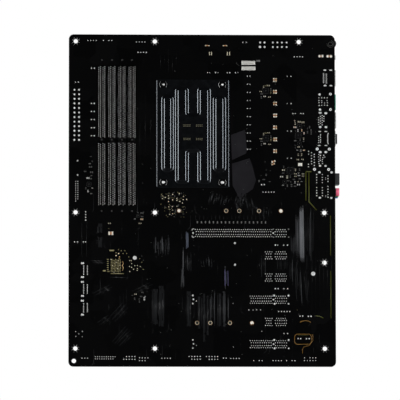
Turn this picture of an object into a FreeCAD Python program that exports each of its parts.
# ATX computer motherboard, standing upright as it is bolted into a tower case.
# Model frame in mm: +X towards the rear I/O edge, +Z towards the top (processor) edge,
# +Y out of the component face.  Y = 0 is the solder face, which sits on the standoffs.
# Origin: on the solder face, midway between the front and rear columns of standoff holes
# and midway between the rows ROW_MID and ROW_BOTTOM.
# Dimensions are board positions: x from the front edge, z DOWN from the top edge;
# the helpers turn them into the model frame.  y is the same in both.
import FreeCAD, Part
import os
import math

Vector = FreeCAD.Vector
os.makedirs("parts", exist_ok=True)

# ---------------------------------------------------------------- driving dimensions
BOARD_WIDTH = 243.84      # front edge to rear edge (9.6 in)
BOARD_HEIGHT = 304.80     # top edge to bottom edge (12 in)
FACE = 1.60               # y of the component face, which is the board thickness
PIN_TAIL_Y = -0.9         # pins stick out of the solder face to here

# standoff holes
COLUMN_FRONT, COLUMN_MID, COLUMN_REAR = 6.35, 78.74, 233.68
COLUMN_OFFSET = 210.82    # rearmost hole of the top row
ROW_TOP, ROW_MID, ROW_EXTRA, ROW_BOTTOM = 6.35, 163.83, 209.55, 288.29
STANDOFF_HOLES = [(COLUMN_OFFSET, ROW_TOP), (COLUMN_REAR, ROW_EXTRA), (COLUMN_REAR, ROW_MID),
                  (COLUMN_REAR, ROW_BOTTOM)]
STANDOFF_HOLES += [(x, z) for x in (COLUMN_FRONT, COLUMN_MID)
                   for z in (ROW_TOP, ROW_MID, ROW_BOTTOM)]
ORIGIN_X = (COLUMN_FRONT + COLUMN_REAR) / 2
ORIGIN_Z = (ROW_MID + ROW_BOTTOM) / 2

# processor and its cooler holes
CPU_X, CPU_Z = 113.4, 91.3
COOLER_DX, COOLER_DZ = 54.0, 90.0
COOLER_HOLES = [(CPU_X + i * COOLER_DX / 2, CPU_Z + j * COOLER_DZ / 2)
                for i in (-1, 1) for j in (-1, 1)]

# M.2 bays.  card: x the card lengths count from; standoff: x of the socket-end standoff
M2_LENGTHS = (30.0, 42.0, 60.0, 80.0)
M2_BAYS = [
    dict(z=162.2, card=113.9, socket=106.6, standoff=100.8, pad=(116.0, 189.0),
         cover=(96.6, 197.6)),
    dict(z=264.8, card=87.2, socket=88.2, standoff=82.6, pad=(92.0, 163.0),
         cover=(78.8, 171.2)),
]

# screws holding the heat sinks, (x, z)
SIDE_SINK_SCREWS = [(189.8, 36.4), (189.8, 112.6)]
TOP_SINK_SCREWS = [(122.4, 12.4), (157.6, 12.4)]
CHIPSET_SCREWS = [(28.5, 184.5), (94.5, 184.5), (28.5, 241.5), (94.5, 241.5)]


# ---------------------------------------------------------------- helpers
def at(x, z, y=0.0):
    """Model point of a board position."""
    return Vector(x - ORIGIN_X, y, ORIGIN_Z - z)


def box(x_from, x_to, z_from, z_to, y_from, y_to):
    x_from, x_to = sorted((x_from, x_to))
    z_from, z_to = sorted((z_from, z_to))
    return Part.makeBox(x_to - x_from, y_to - y_from, z_to - z_from, at(x_from, z_to, y_from))


def block(x, z, half_x, half_z, y_from, y_to):
    """Box centred on a board position."""
    return box(x - half_x, x + half_x, z - half_z, z + half_z, y_from, y_to)


def turned_box(x, z, along, run_from, run_to, side_from, side_to, y_from, y_to):
    """Box from offsets along and across a part that runs along "x" or "z"."""
    if along == "x":
        return box(x + run_from, x + run_to, z + side_from, z + side_to, y_from, y_to)
    return box(x + side_from, x + side_to, z + run_from, z + run_to, y_from, y_to)


def rod_y(x, z, radius, y_from, y_to):
    return Part.makeCylinder(radius, y_to - y_from, at(x, z, y_from), Vector(0, 1, 0))


def rod_x(y, z, radius, x_from, x_to):
    return Part.makeCylinder(radius, x_to - x_from, at(x_from, z, y), Vector(1, 0, 0))


def rod_z(x, y, radius, z_from, z_to):
    return Part.makeCylinder(radius, abs(z_to - z_from), at(x, max(z_from, z_to), y),
                             Vector(0, 0, 1))


# The outlines below are functions of y that return a wire in the board plane.
def rounded(x_front, x_rear, z_top, z_bottom, radius):
    """Rounded rectangle."""
    inset = radius * (1 - math.sqrt(0.5))
    # straight start, straight end, arc middle, arc end
    sides = [
        ((x_front + radius, z_top), (x_rear - radius, z_top),
         (x_rear - inset, z_top + inset), (x_rear, z_top + radius)),
        ((x_rear, z_top + radius), (x_rear, z_bottom - radius),
         (x_rear - inset, z_bottom - inset), (x_rear - radius, z_bottom)),
        ((x_rear - radius, z_bottom), (x_front + radius, z_bottom),
         (x_front + inset, z_bottom - inset), (x_front, z_bottom - radius)),
        ((x_front, z_bottom - radius), (x_front, z_top + radius),
         (x_front + inset, z_top + inset), (x_front + radius, z_top)),
    ]

    def wire(y):
        edges = []
        for side in sides:
            start, end, arc_mid, arc_end = [at(*point, y) for point in side]
            edges.append(Part.makeLine(start, end))
            edges.append(Part.Arc(end, arc_mid, arc_end).toShape())
        return Part.Wire(edges)
    return wire


def rounded_at(x, z, half_x, half_z, radius):
    return rounded(x - half_x, x + half_x, z - half_z, z + half_z, radius)


def polygon(points):
    def wire(y):
        corners = [at(x, z, y) for x, z in points]
        return Part.makePolygon(corners + [corners[0]])
    return wire


def clipped(x_front, x_rear, z_top, z_bottom, cut):
    """Rectangle with its top rear corner cut off."""
    return polygon([(x_front, z_top), (x_rear - cut, z_top), (x_rear, z_top + cut),
                    (x_rear, z_bottom), (x_front, z_bottom)])


def circle(x, z, radius):
    return lambda y: Part.Wire(Part.makeCircle(radius, at(x, z, y), Vector(0, 1, 0)))


def plate(outline, y_from, y_to, holes=(), windows=()):
    """Extruded outline with round holes (x, z, radius) and further inner outlines."""
    inner = [circle(*hole)(y_from) for hole in holes] + [window(y_from) for window in windows]
    outer = outline(y_from)
    if inner:
        face = Part.makeFace([outer] + inner, "Part::FaceMakerBullseye")
    else:
        face = Part.Face(outer)
    return face.extrude(Vector(0, y_to - y_from, 0))


def prism_x(profile, x_from, x_to):
    """Profile of (z, y) points extruded along X."""
    corners = [at(x_from, z, y) for z, y in profile]
    face = Part.Face(Part.makePolygon(corners + [corners[0]]))
    return face.extrude(Vector(x_to - x_from, 0, 0))


def prism_z(profile, z_top, z_bottom):
    """Profile of (x, y) points extruded along Z."""
    corners = [at(x, z_bottom, y) for x, y in profile]
    face = Part.Face(Part.makePolygon(corners + [corners[0]]))
    return face.extrude(Vector(0, 0, z_bottom - z_top))


def shifted(points, first, second):
    return [(a + first, b + second) for a, b in points]


def bevel(shape, size, y=None, low=False):
    """Chamfers the edges in the plane y, by default the highest (or lowest) one."""
    bounds = shape.BoundBox
    level = (bounds.YMin if low else bounds.YMax) if y is None else y
    edges = [e for e in shape.Edges if all(abs(v.Y - level) < 1e-4 for v in e.Vertexes)]
    # guards against a chamfer the kernel cannot build: the shape then stays sharp
    try:
        cut = shape.makeChamfer(size, edges)
        if cut.isValid() and cut.Volume > 0:
            return cut
    except Exception:
        pass
    return shape


def fuse(shapes):
    whole = shapes[0]
    if len(shapes) > 1:
        whole = whole.fuse(shapes[1:])
    return whole.removeSplitter()


def largest(shape):
    return max(shape.Solids, key=lambda solid: solid.Volume)


def cross(x, z, half_length, half_width, y_from, y_to):
    """The two boxes of a cross recess."""
    return [block(x, z, half_length, half_width, y_from, y_to),
            block(x, z, half_width, half_length, y_from, y_to)]


def grid(x, z, columns, rows, pitch, missing=()):
    """Positions of a centred grid, columns along X; missing holds (column, row)."""
    return [(x + (i - (columns - 1) / 2) * pitch, z + (j - (rows - 1) / 2) * pitch)
            for i in range(columns) for j in range(rows) if (i, j) not in missing]


def save(name, shapes):
    if not isinstance(shapes, (list, tuple)):
        shapes = [shapes]
    pieces = [solid for shape in shapes for solid in shape.Solids]
    whole = pieces[0] if len(pieces) == 1 else Part.makeCompound(pieces)
    whole.exportStep("parts/%s.step" % name)


# ---------------------------------------------------------------- pin positions
PIN_PITCH = 2.54
DATA_PITCH = 2.0
POWER_PITCH = 4.2
# pin headers: centre x, centre z, columns, rows, missing (column, row)
HEADERS = [
    (21.2, 5.7, 4, 1, ()),                # top edge
    (35.4, 5.7, 4, 1, ((1, 0),)),
    (14.9, 297.1, 3, 1, ()),              # bottom edge
    (55.4, 296.9, 5, 2, ((0, 0),)),
    (68.5, 298.1, 4, 2, ((3, 1),)),
    (114.9, 296.75, 5, 2, ((0, 1),)),
    (130.7, 296.8, 5, 2, ((0, 1),)),
    (142.4, 297.0, 2, 1, ()),
    (172.5, 299.2, 4, 1, ((1, 0),)),
    (190.1, 299.2, 4, 1, ()),
    (202.5, 299.2, 4, 1, ((1, 0),)),
    (220.1, 297.85, 5, 2, ((1, 0),)),
    (196.7, 254.35, 5, 1, ()),
]
# four-pin fan headers and shrouded front-panel data headers: centre x, centre z, direction
FAN_HEADERS = [(65.8, 6.9, "x"), (67.1, 16.45, "x"), (210.5, 20.1, "x"), (15.6, 167.2, "z"),
               (88.9, 297.15, "x"), (151.6, 297.25, "x")]
DATA_HEADERS = [(7.4, 144.6, "z"), (33.5, 296.8, "x")]
# power sockets: centre x, centre z, columns, rows
MAIN_POWER = (7.3, 74.25, 2, 12)
CPU_POWER_4 = (177.3, 9.05, 2, 2)
CPU_POWER_8 = (193.3, 9.05, 4, 2)

HEADER_PINS = [pin for x, z, columns, rows, missing in HEADERS
               for pin in grid(x, z, columns, rows, PIN_PITCH, missing)]
for x, z, along in FAN_HEADERS:
    columns, rows = (4, 1) if along == "x" else (1, 4)
    HEADER_PINS += grid(x, z, columns, rows, PIN_PITCH)
DATA_PINS = []
for x, z, along in DATA_HEADERS:
    if along == "x":
        DATA_PINS += grid(x, z, 10, 2, DATA_PITCH, ((9, 1),))
    else:
        DATA_PINS += grid(x, z, 2, 10, DATA_PITCH, ((1, 9),))
POWER_PINS = [pin for socket in (MAIN_POWER, CPU_POWER_4, CPU_POWER_8)
              for pin in grid(*socket, POWER_PITCH)]


# ---------------------------------------------------------------- board
def pcb():
    m2_holes = [(bay["card"] + length, bay["z"]) for bay in M2_BAYS for length in M2_LENGTHS]
    hole_sets = [                         # radius, positions
        (1.98, STANDOFF_HOLES),
        (2.0, [(5.0, 299.6)]),            # bottom front corner
        (2.6, COOLER_HOLES),
        (1.35, m2_holes + SIDE_SINK_SCREWS + TOP_SINK_SCREWS + CHIPSET_SCREWS),
        (0.85, POWER_PINS),
        (0.52, HEADER_PINS),
        (0.42, DATA_PINS),
    ]
    holes = [(x, z, radius) for radius, places in hole_sets for x, z in places]
    return plate(rounded(0, BOARD_WIDTH, 0, BOARD_HEIGHT, 4.5), 0, FACE, holes)


save("pcb", pcb())

# ---------------------------------------------------------------- processor backplate
PLATE_HALF_X, PLATE_HALF_Z = 34.3, 49.8
PLATE_THICK, INSULATOR_THICK = 1.3, 0.25
PLATE_Y = -INSULATOR_THICK - PLATE_THICK    # outer face of the flat plate
RIB_HEIGHT, RIB_RUN = 1.4, 2.6    # pressed height, horizontal run of each sloping wall
RIB_X = CPU_X + 0.15              # middle of the pressed pattern
BEAD_OFFSET, BEAD_HALF = 24.05, 5.5         # long side beads, half width at the foot
PANEL_HALF = 15.85                # central panel, half width at the foot
CHANNEL_HALF = 7.0                # central channels, half width at the mouth


def pressed_panel(x_middle, half, z_top, z_bottom):
    """Sloping-sided panel growing outwards (-Y) from its foot on the plate."""
    foot_radius = 3.4
    run = RIB_RUN
    foot = rounded(x_middle - half, x_middle + half, z_top, z_bottom, foot_radius)
    crest = rounded(x_middle - half + run, x_middle + half - run, z_top + run, z_bottom - run,
                    foot_radius - run * 0.8)
    return Part.makeLoft([foot(PLATE_Y), crest(PLATE_Y - RIB_HEIGHT)], True, True)


def pressed_channel(z_top, z_bottom):
    """Sloping-sided channel pressed back into the central panel, open at the panel's end."""
    past = 0.01                   # runs past the crest
    run, spread = RIB_RUN, RIB_RUN * past / RIB_HEIGHT
    floor_half, mouth_half = CHANNEL_HALF - run, CHANNEL_HALF + spread
    floor = rounded(RIB_X - floor_half, RIB_X + floor_half, z_top + run, z_bottom - run, 1.2)
    mouth = rounded(RIB_X - mouth_half, RIB_X + mouth_half, z_top - spread, z_bottom + spread,
                    3.2)
    return Part.makeLoft([floor(PLATE_Y), mouth(PLATE_Y - RIB_HEIGHT - past)], True, True)


def cpu_backplate():
    body = plate(rounded_at(CPU_X, CPU_Z, PLATE_HALF_X, PLATE_HALF_Z, 3.0),
                 PLATE_Y, -INSULATOR_THICK)
    for side in (-1, 1):          # the long edges slope down to the board
        edge = CPU_X + side * PLATE_HALF_X
        wedge = [(edge + 0.48 * side, PLATE_Y + 0.91), (edge - 2.08 * side, PLATE_Y - 0.21),
                 (edge + 0.48 * side, PLATE_Y - 0.21)]
        body = body.cut(prism_z(wedge, CPU_Z - PLATE_HALF_Z - 1, CPU_Z + PLATE_HALF_Z + 1))
    for side in (-1, 1):
        body = body.fuse(pressed_panel(RIB_X + side * BEAD_OFFSET, BEAD_HALF,
                                       CPU_Z - 35.2, CPU_Z + 35.6))
    panel = pressed_panel(RIB_X, PANEL_HALF, CPU_Z - 42.6, CPU_Z + 46.2)
    panel = panel.cut([pressed_channel(CPU_Z - 54.0, CPU_Z - 15.4),
                       pressed_channel(CPU_Z + 14.4, CPU_Z + 58.0)])
    body = fuse([body] + panel.Solids)
    return body.cut([rod_y(x, z, 2.55, PLATE_Y - 2, 1) for x, z in COOLER_HOLES])


def backplate_insulator():
    return plate(rounded_at(CPU_X, CPU_Z, PLATE_HALF_X - 1.0, PLATE_HALF_Z - 1.0, 2.0),
                 -INSULATOR_THICK, 0, [(x, z, 3.0) for x, z in COOLER_HOLES])


def backplate_post(x, z):
    """Threaded sleeve with a flange on the outer face of the plate."""
    post = rod_y(x, z, 2.5, PLATE_Y - 0.1, FACE + 1.8)
    post = post.fuse(rod_y(x, z, 3.3, PLATE_Y - 0.65, PLATE_Y))
    return post.cut(rod_y(x, z, 1.6, PLATE_Y - 2, FACE + 3)).removeSplitter()


save("cpu_backplate", cpu_backplate())
save("backplate_insulator", backplate_insulator())
save("backplate_posts", [backplate_post(x, z) for x, z in COOLER_HOLES])

# ---------------------------------------------------------------- processor socket
SOCKET_FRONT, SOCKET_REAR = CPU_X - 21.0, CPU_X + 21.0
SOCKET_TOP, SOCKET_BOTTOM = CPU_Z - 21.4, CPU_Z + 25.6
LEVER_Z, LEVER_Y, LEVER_RADIUS = 114.4, FACE + 2.5, 0.9


def socket_base():
    front, rear, top, bottom = SOCKET_FRONT, SOCKET_REAR, SOCKET_TOP, SOCKET_BOTTOM
    base = plate(clipped(front, rear, top, bottom, 2.0), FACE, FACE + 3.0)
    cam_housing = box(front, rear, bottom - 4.9, bottom, FACE + 2.9, FACE + 4.9)
    nub = box(front - 0.7, front + 0.2, top + 3.0, top + 6.0, FACE, FACE + 3.0)
    front_guide = box(front, front + 0.9, top + 1.0, bottom - 8.0, FACE + 2.9, FACE + 4.4)
    rear_guide = box(rear - 0.9, rear, top + 3.2, bottom - 8.0, FACE + 2.9, FACE + 4.4)
    base = fuse([base, cam_housing, nub, front_guide, rear_guide])
    return base.cut([rod_x(LEVER_Y, LEVER_Z, LEVER_RADIUS + 0.05, front - 5, rear - 1.2),
                     box(CPU_X - 5.2, CPU_X + 5.2, CPU_Z - 5.6, CPU_Z + 4.8,
                         FACE + 1.6, FACE + 9)])


def socket_cover():
    window = polygon([(CPU_X - 4.6, CPU_Z - 5.0), (CPU_X - 4.6, CPU_Z + 4.2),
                      (CPU_X + 4.6, CPU_Z + 4.2), (CPU_X + 4.6, CPU_Z - 5.0)])
    outline = clipped(CPU_X - 20.0, CPU_X + 20.0, CPU_Z - 20.2, CPU_Z + 19.6, 1.6)
    return bevel(plate(outline, FACE + 3.02, FACE + 4.9, (), [window]), 0.25)


def socket_lever():
    """Cam shaft along X, arm up the front side of the socket, handle turned to the front."""
    arm_x, knee_z, handle_length = SOCKET_FRONT - 2.2, 68.2, 6.5
    knee = at(arm_x, knee_z, LEVER_Y)
    handle_way = Vector(-1, 0.25, 0)
    tip = knee + Vector(-1, 0.25, 0).normalize().multiply(handle_length)
    return fuse([
        rod_x(LEVER_Y, LEVER_Z, LEVER_RADIUS, arm_x, SOCKET_REAR - 1.6),
        Part.makeSphere(LEVER_RADIUS, at(arm_x, LEVER_Z, LEVER_Y)),
        rod_z(arm_x, LEVER_Y, LEVER_RADIUS, LEVER_Z, knee_z),
        Part.makeSphere(LEVER_RADIUS, knee),
        Part.makeCylinder(LEVER_RADIUS, handle_length, knee, handle_way),
        Part.makeSphere(1.25, tip)])


save("socket_base", socket_base())
save("socket_cover", socket_cover())
save("socket_lever", socket_lever())


# ---------------------------------------------------------------- cooler brackets
def cooler_bracket(outward):
    """Bar above (outward = -1) or below (+1) the socket, with a hook on its outer side."""
    z = CPU_Z + outward * COOLER_DZ / 2
    bar = bevel(plate(rounded_at(CPU_X, z, 34.2, 6.2, 4.0), FACE, FACE + 6.2), 0.6)
    hook = box(CPU_X - 5.6, CPU_X + 5.6, z + outward * 5.0, z + outward * 9.4,
               FACE + 1.6, FACE + 9.0)
    lip = box(CPU_X - 5.6, CPU_X + 5.6, z + outward * 3.0, z + outward * 9.4,
              FACE + 7.2, FACE + 9.0)
    neck = block(CPU_X, z, 7.6, 5.4, FACE + 5.6, FACE + 7.4)
    tools = [box(CPU_X + side * 9.5, CPU_X + side * 20, z - 3.6, z + 3.6, FACE + 2.0, FACE + 7)
             for side in (-1, 1)]
    for side in (-1, 1):
        hole_x = CPU_X + side * COOLER_DX / 2
        tools += [rod_y(hole_x, z, 2.75, FACE - 1, FACE + 2.2),
                  rod_y(hole_x, z, 1.9, FACE, FACE + 9)]
    return fuse([bar, hook, lip, neck]).cut(tools)


def bracket_screw(x, z):
    screw = rod_y(x, z, 1.5, FACE - 1.2, FACE + 6.4)
    screw = screw.fuse(rod_y(x, z, 3.9, FACE + 6.2, FACE + 8.0))
    return screw.cut(cross(x, z, 2.1, 0.45, FACE + 6.9, FACE + 9)).removeSplitter()


save("cooler_brackets", [cooler_bracket(-1), cooler_bracket(1)])
save("bracket_screws", [bracket_screw(x, z) for x, z in COOLER_HOLES])

# ---------------------------------------------------------------- memory slots and latches
DIMM_X = [30.20, 39.43, 48.66, 57.89]
DIMM_HALF, DIMM_HEIGHT = 3.2, 8.8
DIMM_TOP, DIMM_BOTTOM = 20.6, 164.6         # housing ends
CARD_TOP, CARD_BOTTOM = 25.6, 159.3         # card channel ends
DIMM_KEY_Z = 96.7
CHEEK = 1.1                                 # walls either side of the latch
LATCH_Z, LATCH_Y = 23.5, FACE + 3.4         # latch pivot
# (z, y) from the pivot
DIMM_LATCH_PROFILE = [
    (2.0, -1.6), (2.3, 6.0), (1.9, 12.0), (3.9, 13.0), (3.9, 15.0), (1.6, 17.2), (-2.6, 17.8),
    (-5.4, 17.2), (-5.4, 16.0), (-2.4, 14.8), (-1.8, 6.0), (-2.0, -1.2), (-0.6, -2.2),
    (1.0, -2.2)]
# (z, y) from the top end of the housing, on the component face
CHEEK_PROFILE = [(0, 0), (8.4, 0), (8.4, 10.6), (5.4, 13.4), (1.4, 9.0), (0, 7.0)]


def dimm_slot(x):
    front, rear = x - DIMM_HALF, x + DIMM_HALF
    body = box(front, rear, DIMM_TOP + 5.6, DIMM_BOTTOM, FACE, FACE + DIMM_HEIGHT)
    # tower without a latch, at the bottom end of the card
    tower = prism_z([(front, FACE), (rear, FACE), (rear, FACE + 17.2), (rear - 1.2, FACE + 18.4),
                     (front + 1.2, FACE + 18.4), (front, FACE + 17.2)],
                    CARD_BOTTOM - 2.2, DIMM_BOTTOM)
    cheeks = [prism_x(shifted(CHEEK_PROFILE, DIMM_TOP, FACE), start, start + CHEEK)
              for start in (front, rear - CHEEK)]
    floor = box(front, rear, DIMM_TOP, DIMM_TOP + 6, FACE, FACE + 0.8)
    slot = fuse([body, tower] + cheeks + [floor])
    slot = slot.cut([
        box(x - 0.85, x + 0.85, CARD_TOP - 3, CARD_BOTTOM, FACE + 2.8, FACE + 30),
        box(front + CHEEK, rear - CHEEK, DIMM_TOP - 1, DIMM_TOP + 7.4, FACE + 0.8, FACE + 20),
        rod_x(LATCH_Y, LATCH_Z, 1.25, front - 1, rear + 1)])
    return fuse([slot, block(x, DIMM_KEY_Z, 0.9, 0.65, FACE + 2.7, FACE + 6.4)])


def dimm_latch(x):
    half = DIMM_HALF - CHEEK - 0.15
    latch = prism_x(shifted(DIMM_LATCH_PROFILE, LATCH_Z, LATCH_Y), x - half, x + half)
    pivot = rod_x(LATCH_Y, LATCH_Z, 1.2, x - DIMM_HALF + 0.1, x + DIMM_HALF - 0.1)
    return latch.fuse(pivot).removeSplitter()


# one contact strip each side of the channel, above and below the key
dimm_contacts = [box(x + side * 0.86, x + side * 1.16, top, bottom, FACE + 2.8, FACE + 7.0)
                 for x in DIMM_X for top, bottom in ((29.0, 94.0), (99.3, 155.9))
                 for side in (-1, 1)]
save("dimm_slots", [dimm_slot(x).cut(dimm_contacts) for x in DIMM_X])
save("dimm_contacts", dimm_contacts)
for i, x in enumerate(DIMM_X):
    save("dimm_latch_%d" % (i + 1), dimm_latch(x))

# ---------------------------------------------------------------- expansion slots
PCIE_TOP_Z, PCIE_PITCH = 182.70, 20.32
X16_Z = [PCIE_TOP_Z + row * PCIE_PITCH for row in (0, 3, 5)]
X1_Z = [PCIE_TOP_Z + row * PCIE_PITCH for row in (1, 2, 4)]
PCIE_HALF, PCIE_HEIGHT = 3.75, 11.2
PCIE_FIRST_X = 199.2                        # first contact
PCIE_REAR = PCIE_FIRST_X + 2.4
X16_FRONT, X1_FRONT = 112.4, 177.0          # front ends of the housings
EAR = 1.2                                   # walls either side of the latch
PCIE_LATCH_X, PCIE_LATCH_Y = 107.6, FACE + 3.0    # latch pivot
# (x, y) from the pivot
PCIE_LATCH_PROFILE = [
    (1.6, -1.8), (1.9, 6.2), (4.4, 8.6), (4.4, 9.6), (2.2, 10.8), (-0.6, 10.8), (-1.6, 8.0),
    (-4.4, 6.8), (-4.4, 5.6), (-1.8, 3.0), (-1.8, -0.9), (-0.6, -1.85), (1.0, -1.85)]
# (x, y) from the front end of the housing, on the component face
EAR_PROFILE = [(-8.0, 0), (0.5, 0), (0.5, 8.0), (-2.0, 8.0), (-6.5, 5.6), (-8.0, 4.0)]


def pcie_slot(z, front, latched):
    top, bottom = z - PCIE_HALF, z + PCIE_HALF
    parts = [box(front, PCIE_REAR, top, bottom, FACE, FACE + PCIE_HEIGHT)]
    tools = [box(front + 1.5, PCIE_REAR - 1.5, z - 0.9, z + 0.9, FACE + 3.0, FACE + 20)]
    if latched:
        ear = shifted(EAR_PROFILE, front, FACE)
        parts += [box(front - 8.0, front + 1, top, bottom, FACE, FACE + 0.9),
                  prism_z(ear, top, top + EAR), prism_z(ear, bottom - EAR, bottom)]
        tools += [rod_z(PCIE_LATCH_X, PCIE_LATCH_Y, 1.25, top - 1, bottom + 1)]
    key = box(PCIE_FIRST_X - 12.3, PCIE_FIRST_X - 10.7, z - 1.0, z + 1.0,
              FACE + 2.9, FACE + PCIE_HEIGHT)
    return fuse([fuse(parts).cut(tools), key])


def contact_strips(z, reach):
    """Strips both sides of the channel, behind and in front of the key."""
    spans = ((PCIE_FIRST_X + 0.4, PCIE_FIRST_X - 10.4),
             (PCIE_FIRST_X - 12.6, PCIE_FIRST_X - reach - 0.4))
    return [box(rear, front, z + side * 0.91, z + side * 1.25, FACE + 3.0, FACE + 9.6)
            for rear, front in spans for side in (-1, 1)]


def slot_armour(z):
    """Thin shell over a long slot, with windows in both sides."""
    front, rear, wall = X16_FRONT + 0.6, PCIE_REAR, 0.4
    shell = plate(rounded(front, rear + wall, z - PCIE_HALF - wall, z + PCIE_HALF + wall, 0.6),
                  FACE, FACE + PCIE_HEIGHT + wall)
    tools = [box(front - 1, rear + 0.02, z - PCIE_HALF - 0.02, z + PCIE_HALF + 0.02,
                 FACE - 1, FACE + PCIE_HEIGHT + 0.01),
             box(front + 1.2, rear - 0.9, z - 1.5, z + 1.5, FACE, FACE + 30)]
    for k in range(7):
        start = front + 8 + k * 11.5
        tools.append(box(start, start + 7, z - PCIE_HALF - 2, z + PCIE_HALF + 2,
                         FACE + 3.0, FACE + 7.4))
    return bevel(shell, 0.25).cut(tools)


def pcie_latch(z):
    half = PCIE_HALF - EAR - 0.15
    latch = prism_z(shifted(PCIE_LATCH_PROFILE, PCIE_LATCH_X, PCIE_LATCH_Y), z - half, z + half)
    pivot = rod_z(PCIE_LATCH_X, PCIE_LATCH_Y, 1.2, z - PCIE_HALF + 0.1, z + PCIE_HALF - 0.1)
    return latch.fuse(pivot).removeSplitter()


pcie_contacts = []
for name, rows, front, reach, latched in (("pcie_x16_slots", X16_Z, X16_FRONT, 83, True),
                                          ("pcie_x1_slots", X1_Z, X1_FRONT, 19, False)):
    slots = []
    for z in rows:
        strips = contact_strips(z, reach)
        pcie_contacts += strips
        slots.append(pcie_slot(z, front, latched).cut(strips))
    save(name, slots)
save("pcie_contacts", pcie_contacts)
save("pcie_slot_armour", [slot_armour(z) for z in X16_Z])
for i, z in enumerate(X16_Z):
    save("pcie_latch_%d" % (i + 1), pcie_latch(z))


# ---------------------------------------------------------------- power sockets and pins
def power_pin(x, z):
    return block(x, z, 0.5, 0.5, PIN_TAIL_Y, FACE + 9.6)


def power_socket(socket, ramp_span, margin_z):
    """Shell with a square cell per pin; ramp_span is the x and z extent of its outer ramp."""
    x, z, columns, rows = socket
    cells = grid(*socket, POWER_PITCH)
    outline = rounded_at(x, z, columns * POWER_PITCH / 2 + 0.6,
                         rows * POWER_PITCH / 2 + margin_z, 0.5)
    shell = bevel(plate(outline, FACE, FACE + 13.0), 0.4)
    shell = fuse([shell, box(*ramp_span, FACE + 5.6, FACE + 9.4)])
    shell = shell.cut([block(*cell, 1.85, 1.85, FACE + 1.6, FACE + 20) for cell in cells])
    return shell.cut([power_pin(*cell) for cell in cells])


save("atx_power_socket", power_socket(MAIN_POWER, (11.9, 13.5, 72.0, 76.0), 0.6))
save("cpu_power_sockets", [power_socket(CPU_POWER_4, (175.5, 179.1, 2.8, 4.4), 0.65),
                           power_socket(CPU_POWER_8, (191.3, 195.3, 2.8, 4.4), 0.65)])
save("power_pins", [power_pin(x, z) for x, z in POWER_PINS])


# ---------------------------------------------------------------- headers
def fan_header(x, z, along):
    return fuse([turned_box(x, z, along, -5.1, 5.1, -2.6, 3.0, FACE, FACE + 3.2),
                 turned_box(x, z, along, -4.0, 2.2, 2.0, 3.0, FACE + 3, FACE + 11.0)])


def cut_near(shape, pins):
    """Cuts out the pins whose bounds meet those of the shape."""
    return shape.cut([pin for pin in pins if pin.BoundBox.intersect(shape.BoundBox)])


def data_header(x, z, along):
    """Shrouded header; the notch is in its top side or, if it runs along z, its rear side."""
    notch_side = -1 if along == "x" else 1
    half_run, half_side, wall = 12.1, 4.3, 1.2
    shroud = bevel(turned_box(x, z, along, -half_run, half_run, -half_side, half_side,
                              FACE, FACE + 9.2), 0.4)
    run, side = half_run - wall, half_side - wall
    return shroud.cut([
        turned_box(x, z, along, -run, run, -side, side, FACE + 1.6, FACE + 20),
        turned_box(x, z, along, -2.4, 2.4, notch_side * (half_side - 1.6),
                   notch_side * (half_side + 1), FACE + 3.2, FACE + 20)])


def type_c_header():
    shell = bevel(plate(rounded(4.6, 11.6, 116.2, 128.8, 1.2), FACE, FACE + 10.6), 0.25)
    shell = shell.cut(plate(rounded(5.2, 11.0, 116.9, 128.1, 0.9), FACE + 1.4, FACE + 20))
    return fuse([shell, box(7.5, 8.7, 118.2, 126.8, FACE + 1.3, FACE + 9.4)])


header_bases = [block(x, z, columns * PIN_PITCH / 2, rows * PIN_PITCH / 2, FACE, FACE + 2.5)
                for x, z, columns, rows, missing in HEADERS]
header_bases += [fan_header(*header) for header in FAN_HEADERS]
header_pins = [block(x, z, 0.32, 0.32, PIN_TAIL_Y, FACE + 8.6) for x, z in HEADER_PINS]
data_pins = [block(x, z, 0.25, 0.25, PIN_TAIL_Y, FACE + 7.0) for x, z in DATA_PINS]
save("pin_header_bases", [cut_near(base, header_pins) for base in header_bases])
save("header_pins", header_pins + data_pins)
save("front_usb_headers", [cut_near(data_header(*header), data_pins)
                           for header in DATA_HEADERS] + [type_c_header()])


# ---------------------------------------------------------------- drive ports
def sata_port(z):
    """Stacked pair of ports, open at the front edge."""
    port = bevel(plate(rounded(0.8, 17.2, z - 8.2, z + 8.2, 0.6), FACE, FACE + 14.2), 0.4)
    for y in (FACE + 1.6, FACE + 8.0):
        port = port.cut([box(-1, 8.2, z - 6.3, z + 6.3, y, y + 4.4),
                         box(-1, 3.4, z - 1.6, z + 1.6, y + 4.2, y + 5.4)])
        port = fuse([port, box(1.6, 9.0, z - 5.2, z + 5.2, y + 1.5, y + 2.7),
                     box(1.6, 9.0, z + 4.0, z + 5.2, y + 2.6, y + 3.8)])
    return port


save("sata_ports", [sata_port(z) for z in (216.5, 233.9, 251.2)])

# ---------------------------------------------------------------- voltage regulator parts
CHOKES = [(176.4, z) for z in (42.0, 52.9, 63.8, 74.8, 85.7, 96.6, 107.5)]
CHOKES += [(x, 26.6) for x in (127.4, 139.4, 151.4)]
CHOKES += [(67.2, 52.6), (68.0, 151.0)]     # memory supply
SIDE_STAGE_Z = (44.5, 55.0, 65.5, 76.0, 86.5, 97.0, 107.0)
TOP_STAGE_X = (128.6, 140.0, 151.4)
CHIP_X, CHIP_Z = 45.0, 212.0                # chipset centre
SINK_Y = FACE + 1.9                         # underside of the regulator sinks


def choke(x, z):
    body = plate(rounded_at(x, z, 4.7, 4.7, 1.0), FACE + 0.3, FACE + 8.4)
    return bevel(bevel(body, 0.5), 0.3, low=True)


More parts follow.
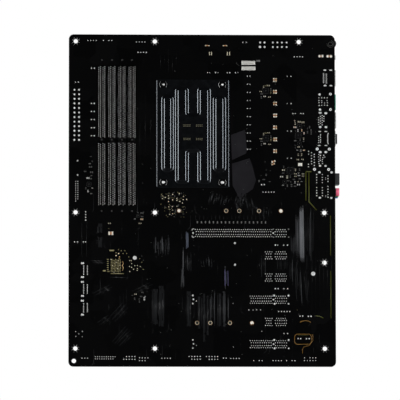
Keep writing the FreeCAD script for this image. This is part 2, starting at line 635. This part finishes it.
save("vrm_chokes", [choke(x, z) for x, z in CHOKES])
save("vrm_power_stages",
     [block(189.8, z, 2.6, 3.1, FACE, FACE + 1.0) for z in SIDE_STAGE_Z]
     + [block(x, 10.4, 3.1, 2.6, FACE, FACE + 1.0) for x in TOP_STAGE_X])
save("thermal_pads",
     [box(185.6, 194.0, 40.4, 110.2, FACE + 1.0, SINK_Y),
      box(125.0, 155.0, 7.4, 13.4, FACE + 1.0, SINK_Y),
      block(CHIP_X, CHIP_Z, 9, 9, FACE + 2.1, FACE + 2.8)]
     + [box(*bay["pad"], bay["z"] - 9.5, bay["z"] + 9.5, FACE + 5.4, FACE + 6.4)
        for bay in M2_BAYS])

# heat pipe centreline: along the top sink, a quarter bend, down the side sink
PIPE_Y, PIPE_RADIUS, PIPE_BEND = FACE + 7.4, 3.0, 13.4
PIPE_START_X, PIPE_TOP_Z = 123.5, 17.8
PIPE_SIDE_X, PIPE_END_Z = 189.8, 110.0
BEND_X, BEND_Z = PIPE_SIDE_X - PIPE_BEND, PIPE_TOP_Z + PIPE_BEND    # bend centre


def pipe(radius, extra=0.0):
    """Flat-ended pipe, each end longer by extra."""
    top_start = at(PIPE_START_X - extra, PIPE_TOP_Z, PIPE_Y)
    top_end = at(BEND_X, PIPE_TOP_Z, PIPE_Y)
    side_start = at(PIPE_SIDE_X, BEND_Z, PIPE_Y)
    side_end = at(PIPE_SIDE_X, PIPE_END_Z + extra, PIPE_Y)
    straights = [Part.makeCylinder(radius, (end - start).Length, start, end - start)
                 for start, end in ((top_start, top_end), (side_start, side_end))]
    ring = Part.makeTorus(PIPE_BEND, radius, at(BEND_X, BEND_Z, PIPE_Y), Vector(0, 1, 0), 0, 360)
    quarter = box(BEND_X, BEND_X + 30, BEND_Z - 30, BEND_Z, PIPE_Y - 8, PIPE_Y + 8)
    return fuse(straights + [ring.common(quarter)])


def finish_sink(body, slots, screws, head_radius):
    """Cuts the fin slots, the pipe channel and the stepped screw holes."""
    body = body.cut(slots)
    tools = [fuse([pipe(PIPE_RADIUS + 0.02, 3.4)])]
    for x, z in screws:
        tools += [rod_y(x, z, 1.7, FACE, FACE + 40),
                  rod_y(x, z, head_radius, FACE + 4.0, FACE + 40)]
    return largest(body.cut(tools))


def side_sink():
    front, rear, top, bottom = 182.0, 197.6, 33.0, 116.0
    body = prism_z([(front, SINK_Y), (rear, SINK_Y), (rear, FACE + 21.0),
                    (rear - 3.0, FACE + 25.6), (front + 5.0, FACE + 25.6),
                    (front, FACE + 19.4)], top, bottom)
    slots = [box(front - 1, front + 9.6, top + 3.5 + k * 6.2, top + 6.5 + k * 6.2,
                 FACE + 11.6, FACE + 40) for k in range(13)]
    slots += [box(rear - 2.2, rear + 1, top - 1, bottom + 1,
                  FACE + 4.6 + k * 4.4, FACE + 6.6 + k * 4.4) for k in range(4)]
    return finish_sink(body, slots, SIDE_SINK_SCREWS, 3.2)


def top_sink():
    front, rear, top, bottom = 118.4, 161.6, 5.6, 21.4
    body = prism_x([(top, SINK_Y), (bottom, SINK_Y), (bottom, FACE + 17.6),
                    (bottom - 4.6, FACE + 24.0), (top + 2.6, FACE + 24.0),
                    (top, FACE + 20.0)], front, rear)
    slots = [box(front + 3.4 + k * 6.2, front + 6.4 + k * 6.2, top + 6.4, bottom + 1,
                 FACE + 11.6, FACE + 40) for k in range(6)]
    slots += [box(front - 1, rear + 1, top - 1, top + 2.0,
                  FACE + 4.6 + k * 4.4, FACE + 6.6 + k * 4.4) for k in range(4)]
    return finish_sink(body, slots, TOP_SINK_SCREWS, 3.0)


save("heat_pipe", fuse([pipe(PIPE_RADIUS),
                        Part.makeSphere(PIPE_RADIUS, at(PIPE_START_X, PIPE_TOP_Z, PIPE_Y)),
                        Part.makeSphere(PIPE_RADIUS, at(PIPE_SIDE_X, PIPE_END_Z, PIPE_Y))]))
save("vrm_heatsink_side", side_sink())
save("vrm_heatsink_top", top_sink())

# ---------------------------------------------------------------- capacitors
# x, z, radius, height
POLYMER_CANS = [(164.8, 38.1 + 7.49 * i, 3.2, 9.0) for i in range(10)]
POLYMER_CANS += [(x, 35.0, 3.0, 8.0) for x in (128.0, 135.6, 146.2, 153.8)]
POLYMER_CANS += [(201.8, z, 3.4, 10.0) for z in (38.2, 63.3, 88.7, 113.7)]
POLYMER_CANS += [(x, z, 2.9, 7.6) for x, z in (
    (189.8, 193.5), (198.1, 193.5), (189.9, 233.5), (198.1, 233.5), (198.1, 274.5),
    (22.05, 31.2))]
POLYMER_CANS += [(22.05, 63.7 + 7.46 * i, 2.9, 7.6) for i in range(5)]
AUDIO_CANS = [(x, z, 3.2, 8.0) for x, z in (
    (212.2, 258.6), (220.0, 258.6), (210.5, 279.1), (218.2, 279.1), (227.4, 279.1),
    (227.8, 259.0), (212.0, 240.0))]


def can(x, z, radius, height):
    """Aluminium can with a rolled groove near its base."""
    profile = [(0, 0), (radius, 0), (radius, 0.9), (radius - 0.35, 1.25), (radius, 1.6),
               (radius, height - 0.4), (radius - 0.4, height), (0, height), (0, 0)]
    wire = Part.makePolygon([Vector(across, up, 0) for across, up in profile])
    body = Part.Face(wire).revolve(Vector(0, 0, 0), Vector(0, 1, 0), 360)
    body = body.Solids[0] if body.Solids else Part.Solid(body)
    body.translate(at(x, z, FACE))
    return body


save("polymer_capacitors", [can(*entry) for entry in POLYMER_CANS])
save("audio_capacitors", [can(*entry) for entry in AUDIO_CANS])


# ---------------------------------------------------------------- rear ports
def shell_port(front, rear, top, bottom, height, cavities, tongues):
    """Port block; heights are above the component face.

    cavities: (z, z, y, y, depth from the rear face); tongues: (z, z, y, y, x, x).
    """
    port = bevel(plate(rounded(front, rear, top, bottom, 0.4), FACE, FACE + height), 0.2)
    port = port.cut([box(rear - depth, rear + 3, z_from, z_to, FACE + low, FACE + high)
                     for z_from, z_to, low, high, depth in cavities])
    return fuse([port] + [box(x_from, x_to, z_from, z_to, FACE + low, FACE + high)
                          for z_from, z_to, low, high, x_from, x_to in tongues])


def usb_cavity(z, y, depth=15.5):
    return (z - 6.25, z + 6.25, y, y + 5.1, depth)


def usb_tongue(z, y, rear):
    return (z - 5.5, z + 5.5, y + 2.7, y + 4.5, rear - 16.0, rear - 1.0)


def hdmi_port():
    return shell_port(232.6, 244.6, 32.1, 46.9, 5.9,
                      [(32.6, 46.4, 1.9, 5.4, 9.6), (34.1, 44.9, 0.7, 2.0, 9.6)],
                      [(34.7, 44.3, 2.6, 3.6, 233.5, 243.2)])


def ps2_port():
    y, z = FACE + 6.6, 61.7
    port = bevel(plate(rounded(229.6, 244.7, 54.6, 68.8, 0.6), FACE, FACE + 13.2), 0.4)
    port = port.cut([rod_x(y, z, 4.9, 235.0, 250.0)])
    return fuse([port, rod_x(y, z, 3.5, 234.8, 242.4)])


def usb_stack_upper():
    z, rear, levels = 78.4, 244.85, (1.3, 9.2)
    return shell_port(226.8, rear, z - 7.2, z + 7.2, 15.8, [usb_cavity(z, y) for y in levels],
                      [usb_tongue(z, y, rear) for y in levels])


def usb_stack_lower():
    """One wide port over a small one whose shell stands out at the rear."""
    z, rear = 95.4, 244.4
    stack = shell_port(226.8, rear, z - 7.2, z + 7.2, 15.8, [usb_cavity(z, 9.2)],
                       [usb_tongue(z, 9.2, rear)])
    nose = plate(rounded(240.0, 245.95, 90.75, 100.05, 0.3), FACE + 1.9, FACE + 5.3)
    stack = fuse([stack, nose]).cut([box(236.5, 250, 91.5, 99.3, FACE + 2.4, FACE + 4.8)])
    return fuse([stack, box(236.4, 245.0, 92.4, 98.4, FACE + 3.25, FACE + 3.95)])


def lan_usb_stack():
    z, rear, levels = 114.4, 244.0, (1.4, 8.6)
    lan = [(z - 5.9, z + 5.9, 16.2, 24.6, 13.5), (z - 3.2, z + 3.2, 24.4, 27.4, 13.5)]
    return shell_port(222.4, rear, 105.9, 122.9, 29.4,
                      [usb_cavity(z, y, 15.0) for y in levels] + lan,
                      [usb_tongue(z, y, rear) for y in levels])


def audio_jack_block():
    """Three jacks in the lower column, two jacks and the optical socket in the upper one."""
    rear = 243.9
    upper_z, lower_z = 132.3, 144.0
    low, mid, high = 5.8, 16.6, 27.4
    collars, bores = [], []
    for z, y in ((lower_z, low), (lower_z, mid), (lower_z, high), (upper_z, mid),
                 (upper_z, high)):
        collars.append(rod_x(FACE + y, z, 3.6, rear - 0.5, 247.8))
        bores.append(rod_x(FACE + y, z, 1.8, rear - 13.0, 250.0))
    collars.append(plate(rounded(rear - 0.5, 247.9, upper_z - 5.1, upper_z + 5.1, 0.3),
                         FACE + 0.6, FACE + 11.0))
    bores.append(box(rear - 8.0, 250.0, upper_z - 3.0, upper_z + 3.0, FACE + 2.8, FACE + 8.8))
    body = bevel(plate(rounded(225.0, rear, 125.4, 151.4, 0.5), FACE, FACE + 33.0), 0.4)
    return fuse([body] + collars).cut(bores)


save("hdmi_port", hdmi_port())
save("ps2_port", ps2_port())
save("usb_stack_upper", usb_stack_upper())
save("usb_stack_lower", usb_stack_lower())
save("lan_usb_stack", lan_usb_stack())
save("audio_jack_block", audio_jack_block())

# ---------------------------------------------------------------- buttons
FLASH_Y, FLASH_Z = FACE + 4.0, 20.0         # axis of the plunger at the rear edge
POWER_X, POWER_Z = 9.8, 275.0


def button_housings():
    flash = bevel(box(233.0, 243.4, FLASH_Z - 4.8, FLASH_Z + 4.8, FACE, FACE + 8.0), 0.4)
    power = bevel(plate(rounded_at(POWER_X, POWER_Z, 3.1, 3.1, 0.6), FACE, FACE + 3.6), 0.3)
    return [flash.cut([rod_x(FLASH_Y, FLASH_Z, 2.1, 236.0, 250.0)]),
            power.cut([rod_y(POWER_X, POWER_Z, 1.95, FACE + 1.0, FACE + 9)])]


def power_button():
    cap = plate(rounded_at(POWER_X, POWER_Z, 2.5, 2.5, 0.8), FACE + 4.5, FACE + 7.0)
    return fuse([rod_y(POWER_X, POWER_Z, 1.9, FACE + 1.6, FACE + 4.6), bevel(cap, 0.4)])


save("button_housings", button_housings())
save("flash_button", rod_x(FLASH_Y, FLASH_Z, 2.05, 236.8, 244.8))
save("power_button", power_button())

# ---------------------------------------------------------------- rear port cover
COVER_Y = FACE + 37.0
# outlines, (x, z); the cavity runs out past the rear edge
COVER_OUTLINE = [(216.4, 3.6), (243.0, 3.6), (243.0, 154.6), (221.0, 154.6), (217.6, 151.2),
                 (217.6, 119.6), (206.6, 108.6), (206.6, 30.6), (216.4, 26.0)]
COVER_CAVITY = [(218.0, 5.2), (260.0, 5.2), (260.0, 153.0), (221.8, 153.0), (219.2, 150.4),
                (219.2, 118.9), (208.2, 107.9), (208.2, 31.7), (218.0, 27.0)]


def io_cover():
    cover = bevel(plate(polygon(COVER_OUTLINE), FACE + 0.4, COVER_Y), 4.0)
    cover = cover.cut(bevel(plate(polygon(COVER_CAVITY), FACE - 1, COVER_Y - 1.6), 3.4))
    louvres = [box(211.0, 214.0, 42.0 + k * 7.4, 46.2 + k * 7.4, COVER_Y - 9, COVER_Y + 1)
               for k in range(8)]
    grooves = [box(x, x + 1.2, 20.0, 140.0, COVER_Y - 0.7, COVER_Y + 1)
               for x in (224.0, 236.4)]
    cover = cover.cut(louvres + grooves)
    boss = rod_y(241.2, 7.5, 4.2, FACE + 0.4, FACE + 5.0)
    tab = box(236.0, 241.6, 5.0, 10.8, FACE + 0.4, FACE + 3.4)
    rib = box(234.0, 236.4, 3.8, 10.8, FACE + 0.4, FACE + 5.0)
    return largest(fuse([cover, boss, tab, rib]))


save("io_cover", io_cover())

# ---------------------------------------------------------------- chipset, its sink and fan
FAN_X, FAN_Z = 55.0, 212.0
CHIP_SINK_LOW, CHIP_SINK_HIGH = FACE + 2.8, FACE + 12.4
# outlines, (x, z)
CHIP_SINK_OUTLINE = [(26.0, 180.4), (93.0, 180.4), (98.0, 185.4), (98.0, 240.4), (93.0, 245.4),
                     (30.0, 245.4), (24.4, 239.8), (24.4, 182.0)]
SHROUD_OUTLINE = [(33.4, 186.0), (38.4, 181.4), (76.0, 181.4), (79.6, 185.0), (79.6, 239.0),
                  (76.0, 244.4), (38.4, 244.4), (33.4, 239.0)]


def chipset():
    return fuse([block(CHIP_X, CHIP_Z, 12, 12, FACE + 0.3, FACE + 1.3),
                 block(CHIP_X, CHIP_Z, 7, 7, FACE + 1.2, FACE + 2.1)])


def chipset_heatsink():
    low, high = CHIP_SINK_LOW, CHIP_SINK_HIGH
    sink = bevel(plate(polygon(CHIP_SINK_OUTLINE), low, high), 1.2)
    tools = [rod_y(FAN_X, FAN_Z, 21.2, low + 2.2, high + 5)]
    # fin slots: front of slot, rear of slot, first z, count
    for front, rear, first, count in ((80.6, 99, 186.0, 12), (22, 31.5, 188.6, 11)):
        tools += [box(front, rear, first + k * 4.6, first + 2.4 + k * 4.6, low + 2.4, high + 5)
                  for k in range(count)]
    for x, z in CHIPSET_SCREWS:
        tools += [rod_y(x, z, 1.7, FACE, FACE + 30), rod_y(x, z, 3.2, high - 3.0, FACE + 30)]
    spindle = rod_y(FAN_X, FAN_Z, 1.5, low + 2.0, low + 7.0)
    return largest(fuse([sink.cut(tools), spindle]))


def fan_blade(start_angle):
    """Swept blade: out along one side, back along the other."""
    steps, root, length, thick = 8, 7.4, 12.4, 0.88
    points = []
    for side in (-1, 1):
        for j in range(steps + 1)[::-side]:
            part = j / steps
            radius = root + part * length
            angle = start_angle + 0.42 * part * part + 0.10 * part + side * thick / 2 / radius
            points.append((FAN_X + radius * math.cos(angle), FAN_Z + radius * math.sin(angle)))
    return plate(polygon(points), CHIP_SINK_LOW + 3.2, CHIP_SINK_LOW + 8.2)


def fan_rotor():
    low, hub_top, blades = CHIP_SINK_LOW, CHIP_SINK_LOW + 8.9, 11
    hub = rod_y(FAN_X, FAN_Z, 8.0, low + 2.9, hub_top)
    hub = hub.cut(rod_y(FAN_X, FAN_Z, 1.55, low + 2, low + 7.6))
    hub = bevel(hub, 0.6, y=hub_top)
    return fuse([hub] + [fan_blade(2 * math.pi * k / blades) for k in range(blades)])


def shroud_spoke(angle, y_from, y_to):
    along_x, along_z = math.cos(angle), math.sin(angle)
    corners = [(FAN_X + reach * along_x - side * along_z, FAN_Z + reach * along_z + side * along_x)
               for reach, side in ((6, 0.9), (21, 0.9), (21, -0.9), (6, -0.9))]
    return plate(polygon(corners), y_from, y_to)


def chipset_fan_shroud():
    """Plate over the fan with an open throat, crossed by spokes, a disc and a ring."""
    low, high = CHIP_SINK_HIGH, CHIP_SINK_HIGH + 2.2
    cover = bevel(plate(polygon(SHROUD_OUTLINE), low, high, [(FAN_X, FAN_Z, 20.4)]), 0.7)
    disc = plate(circle(FAN_X, FAN_Z, 7.0), low + 0.2, high - 0.3)
    ring = plate(circle(FAN_X, FAN_Z, 14.4), low + 0.2, high - 0.5, [(FAN_X, FAN_Z, 13.2)])
    return fuse([cover, disc, ring] + [
        shroud_spoke(math.radians(90 + 120 * k), low + 0.2, high - 0.5) for k in range(3)])


save("chipset", chipset())
save("chipset_heatsink", chipset_heatsink())
save("fan_rotor", fan_rotor())
save("chipset_fan_shroud", chipset_fan_shroud())


# ---------------------------------------------------------------- M.2 bays
def m2_fixings(bay):
    """Socket-end standoff, then the card-end one."""
    return [(bay["standoff"], bay["z"]), (bay["card"] + M2_LENGTHS[-1], bay["z"])]


def m2_socket(bay):
    x, z = bay["socket"], bay["z"]
    socket = bevel(plate(rounded(x - 1.0, x + 6.6, z - 10.9, z + 10.9, 0.5),
                         FACE, FACE + 4.2), 0.3)
    return socket.cut([box(x + 2.4, x + 8, z - 10.0, z + 10.0, FACE + 2.0, FACE + 3.1)])


def m2_standoff(x, z, in_hole):
    """The card-end standoff stands in a board hole, the socket-end one on a pad."""
    post = rod_y(x, z, 2.6, FACE, FACE + 6.4)
    if in_hole:
        post = post.fuse(rod_y(x, z, 1.3, 0.2, FACE + 0.1))
    return post.cut(rod_y(x, z, 1.05, FACE + 1.0, FACE + 10)).removeSplitter()


def m2_heatsink(bay):
    z, half, corner = bay["z"], 11.4, 2
    front, rear = bay["cover"]
    outline = [(front + corner, z - half), (rear - corner, z - half),
               (rear, z - half + corner), (rear, z + half - corner),
               (rear - corner, z + half), (front + corner, z + half),
               (front, z + half - corner), (front, z - half + corner)]
    sink = bevel(plate(polygon(outline), FACE + 6.4, FACE + 11.0), 0.8)
    sink = sink.cut([box(front + 9.0, rear - 9.0, z - 8.6 + k * 4.0, z - 7.4 + k * 4.0,
                         FACE + 9.4, FACE + 20) for k in range(5)])
    for x, z in m2_fixings(bay):
        sink = sink.cut([rod_y(x, z, 1.4, FACE, FACE + 20),
                         rod_y(x, z, 2.6, FACE + 9.0, FACE + 20)])
    return sink


save("m2_sockets", [m2_socket(bay) for bay in M2_BAYS])
save("m2_standoffs", [m2_standoff(x, z, i == 1) for bay in M2_BAYS
                      for i, (x, z) in enumerate(m2_fixings(bay))])
save("m2_heatsinks", [m2_heatsink(bay) for bay in M2_BAYS])


# ---------------------------------------------------------------- heat sink screws
def m2_screw(x, z):
    seat, head_radius, head_height = FACE + 9.0, 2.4, 1.6
    head_top = seat + head_height
    screw = rod_y(x, z, head_radius, seat, head_top)
    screw = screw.fuse(rod_y(x, z, 1.0, FACE + 2.0, seat + 0.1))
    recess = cross(x, z, head_radius * 0.55, 0.3, head_top - 0.8, head_top + 1)
    return screw.cut(recess).removeSplitter()


def sink_screw(x, z, y_end):
    """Screw coming up through the board from the solder side."""
    screw = rod_y(x, z, 2.5, -1.5, 0.0).fuse(rod_y(x, z, 1.25, -0.1, y_end))
    return screw.cut(cross(x, z, 1.4, 0.3, -2.5, -0.8)).removeSplitter()


save("heatsink_screws",
     [m2_screw(x, z) for bay in M2_BAYS for x, z in m2_fixings(bay)]
     + [sink_screw(x, z, FACE + 3.9) for x, z in SIDE_SINK_SCREWS + TOP_SINK_SCREWS]
     + [sink_screw(x, z, CHIP_SINK_HIGH - 3.1) for x, z in CHIPSET_SCREWS])

# ---------------------------------------------------------------- coin cell
CELL_X, CELL_Z = 152.0, 201.9


def battery_holder():
    x, z = CELL_X, CELL_Z
    holder = plate(circle(x, z, 11.6), FACE, FACE + 4.4)
    holder = fuse([holder, block(x, z, 3.4, 12.6, FACE, FACE + 3.0)])
    return largest(holder.cut([
        rod_y(x, z, 10.15, FACE + 1.2, FACE + 9),
        box(x - 14, x - 8.0, z - 5.0, z + 5.0, FACE + 1.2, FACE + 9),
        box(x + 6, x + 14, z - 2.4, z + 2.4, FACE + 2.8, FACE + 9)]))


def battery():
    return bevel(fuse([rod_y(CELL_X, CELL_Z, 10.0, FACE + 1.2, FACE + 3.9),
                       rod_y(CELL_X, CELL_Z, 8.9, FACE + 3.8, FACE + 4.4)]), 0.2)


save("battery_holder", battery_holder())
save("battery", battery())

# ---------------------------------------------------------------- integrated circuits
# centre x, centre z, size along X, size along Z, thickness
IC_PACKAGES = [
    (33.5, 266.5, 14.0, 14.0, 1.4), (224.0, 196.0, 7.0, 7.0, 0.9), (211.0, 132.0, 7.0, 7.0, 0.9),
    (64.0, 279.0, 5.2, 5.2, 1.8), (64.0, 268.0, 5.2, 5.2, 1.8), (168.0, 128.0, 6.0, 6.0, 0.9),
    (206.0, 160.0, 5.0, 5.0, 0.9), (140.0, 226.0, 4.2, 9.0, 0.9), (150.0, 226.0, 4.2, 9.0, 0.9),
    (160.0, 226.0, 4.2, 9.0, 0.9), (130.0, 226.0, 4.2, 9.0, 0.9), (22.4, 118.0, 5.0, 5.0, 0.9),
    (21.6, 144.0, 5.0, 5.0, 0.9), (212.0, 225.0, 7.0, 7.0, 0.9), (69.5, 40.0, 4.0, 4.0, 0.9),
    (214.5, 186.0, 3.2, 5.0, 0.9), (110.0, 147.0, 4.0, 4.0, 0.8), (66.0, 170.0, 5.0, 5.0, 0.9),
    (47.0, 281.0, 3.2, 5.0, 1.2), (181.0, 140.0, 8.0, 8.0, 0.9),
]
IC_GAP = 0.05             # clearance under each package
# centre x, centre z, half length along X, half length along Z
CRYSTALS = [(101.2, 222.0, 1.9, 5.2), (203.0, 142.0, 1.9, 5.2), (50.0, 273.0, 5.2, 1.9)]

save("ic_packages", [bevel(block(x, z, size_x / 2, size_z / 2, FACE + IC_GAP,
                                 FACE + IC_GAP + thick), 0.2)
                     for x, z, size_x, size_z, thick in IC_PACKAGES])
save("crystals", [bevel(plate(rounded_at(*crystal, 1.88), FACE + 0.2, FACE + 3.6), 0.3)
                  for crystal in CRYSTALS])
